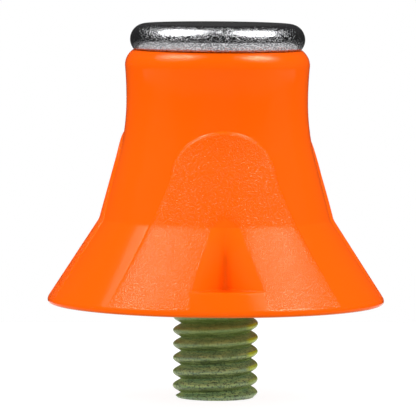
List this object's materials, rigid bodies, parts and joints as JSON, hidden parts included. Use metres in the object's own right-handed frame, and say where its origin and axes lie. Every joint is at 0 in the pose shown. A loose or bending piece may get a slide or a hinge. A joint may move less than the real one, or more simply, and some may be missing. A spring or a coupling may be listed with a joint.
{
  "type": "screw-in boot stud",
  "caption": "Screw-in boot stud: flared plastic body with raised pads and wrench notches, rounded steel wear tip and a threaded steel pin.",
  "frame": {"origin": "centre of the seat that bears on the boot sole, on the stud's axis", "axes": "+Z along the stud's axis from the sole to the wear tip, -Y through the middle of the front pad"},
  "size_m": [0.0194, 0.0194, 0.0216],
  "materials": {
    "nylon": "glossy moulded nylon, spark-eroded texture on the pads",
    "chrome_steel": "barrel-polished and bright plated, fine pits",
    "zinc_steel": "zinc plated, olive yellow passivate"
  },
  "bodies": {
    "root": {"stud_body": "nylon", "wear_tip": "chrome_steel", "threaded_pin": "zinc_steel"}
  },
  "joints": []
}
